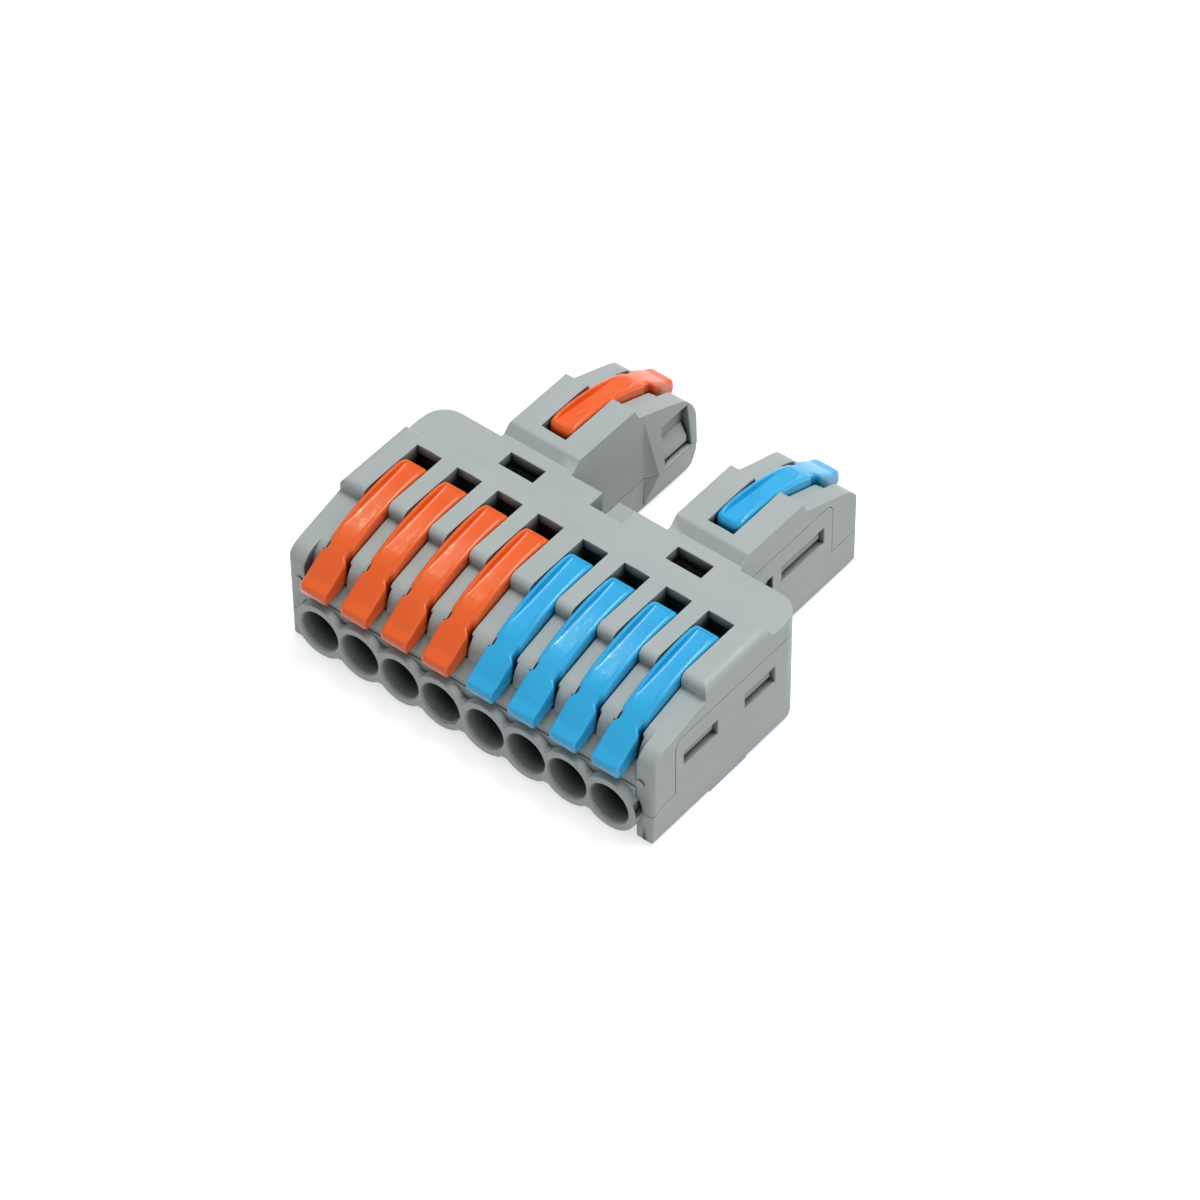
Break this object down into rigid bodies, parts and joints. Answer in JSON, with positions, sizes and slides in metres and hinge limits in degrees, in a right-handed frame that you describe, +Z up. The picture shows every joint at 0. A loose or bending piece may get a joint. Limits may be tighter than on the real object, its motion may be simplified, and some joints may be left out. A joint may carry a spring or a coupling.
{
  "type": "lever wire connector",
  "caption": "Lever wire connector: grey clip-together housing with a row of hinged output levers in orange and blue, matching input levers behind, busbars and clamp springs inside.",
  "frame": {"origin": "bottom centre of the bounding box, on the plane of the feet", "axes": "+X along the row of outputs towards the blue group, +Y from the outputs towards the inputs, +Z up"},
  "size_m": [0.0498, 0.0498, 0.0171],
  "materials": {
    "housing_grey": "fine satin grain",
    "lever_orange": "smooth satin",
    "lever_blue": "smooth satin",
    "tinned_copper": "tin plated",
    "spring_steel": "rolled strip"
  },
  "bodies": {
    "housing": {"base_shell": "housing_grey", "cover_shell": "housing_grey", "busbar_orange": "tinned_copper", "busbar_blue": "tinned_copper", "output_spring_1": "spring_steel", "output_spring_2": "spring_steel", "output_spring_3": "spring_steel", "output_spring_4": "spring_steel", "output_spring_5": "spring_steel", "output_spring_6": "spring_steel", "output_spring_7": "spring_steel", "output_spring_8": "spring_steel", "input_spring_orange": "spring_steel", "input_spring_blue": "spring_steel"},
    "output_lever_1": {"output_lever_1": "lever_orange"},
    "output_lever_2": {"output_lever_2": "lever_orange"},
    "output_lever_3": {"output_lever_3": "lever_orange"},
    "output_lever_4": {"output_lever_4": "lever_orange"},
    "output_lever_5": {"output_lever_5": "lever_blue"},
    "output_lever_6": {"output_lever_6": "lever_blue"},
    "output_lever_7": {"output_lever_7": "lever_blue"},
    "output_lever_8": {"output_lever_8": "lever_blue"},
    "input_lever_orange": {"input_lever_orange": "lever_orange"},
    "input_lever_blue": {"input_lever_blue": "lever_blue"}
  },
  "joints": [
    {"name": "output_1_open", "type": "hinge", "parent": "housing", "child": "output_lever_1", "pos_m": [-0.01984, -0.01125, 0.01185], "axis": [-1, 0, 0], "range_deg": [0, 90], "deforming": ["output_spring_1"]},
    {"name": "output_2_open", "type": "hinge", "parent": "housing", "child": "output_lever_2", "pos_m": [-0.01424, -0.01125, 0.01185], "axis": [-1, 0, 0], "range_deg": [0, 90], "deforming": ["output_spring_2"]},
    {"name": "output_3_open", "type": "hinge", "parent": "housing", "child": "output_lever_3", "pos_m": [-0.00864, -0.01125, 0.01185], "axis": [-1, 0, 0], "range_deg": [0, 90], "deforming": ["output_spring_3"]},
    {"name": "output_4_open", "type": "hinge", "parent": "housing", "child": "output_lever_4", "pos_m": [-0.00304, -0.01125, 0.01185], "axis": [-1, 0, 0], "range_deg": [0, 90], "deforming": ["output_spring_4"]},
    {"name": "output_5_open", "type": "hinge", "parent": "housing", "child": "output_lever_5", "pos_m": [0.00304, -0.01125, 0.01185], "axis": [-1, 0, 0], "range_deg": [0, 90], "deforming": ["output_spring_5"]},
    {"name": "output_6_open", "type": "hinge", "parent": "housing", "child": "output_lever_6", "pos_m": [0.00864, -0.01125, 0.01185], "axis": [-1, 0, 0], "range_deg": [0, 90], "deforming": ["output_spring_6"]},
    {"name": "output_7_open", "type": "hinge", "parent": "housing", "child": "output_lever_7", "pos_m": [0.01424, -0.01125, 0.01185], "axis": [-1, 0, 0], "range_deg": [0, 90], "deforming": ["output_spring_7"]},
    {"name": "output_8_open", "type": "hinge", "parent": "housing", "child": "output_lever_8", "pos_m": [0.01984, -0.01125, 0.01185], "axis": [-1, 0, 0], "range_deg": [0, 90], "deforming": ["output_spring_8"]},
    {"name": "input_orange_open", "type": "hinge", "parent": "housing", "child": "input_lever_orange", "pos_m": [-0.01144, 0.01125, 0.0116], "axis": [1, 0, 0], "range_deg": [0, 90], "deforming": ["input_spring_orange"]},
    {"name": "input_blue_open", "type": "hinge", "parent": "housing", "child": "input_lever_blue", "pos_m": [0.01144, 0.01125, 0.0116], "axis": [1, 0, 0], "range_deg": [0, 90], "deforming": ["input_spring_blue"]}
  ]
}
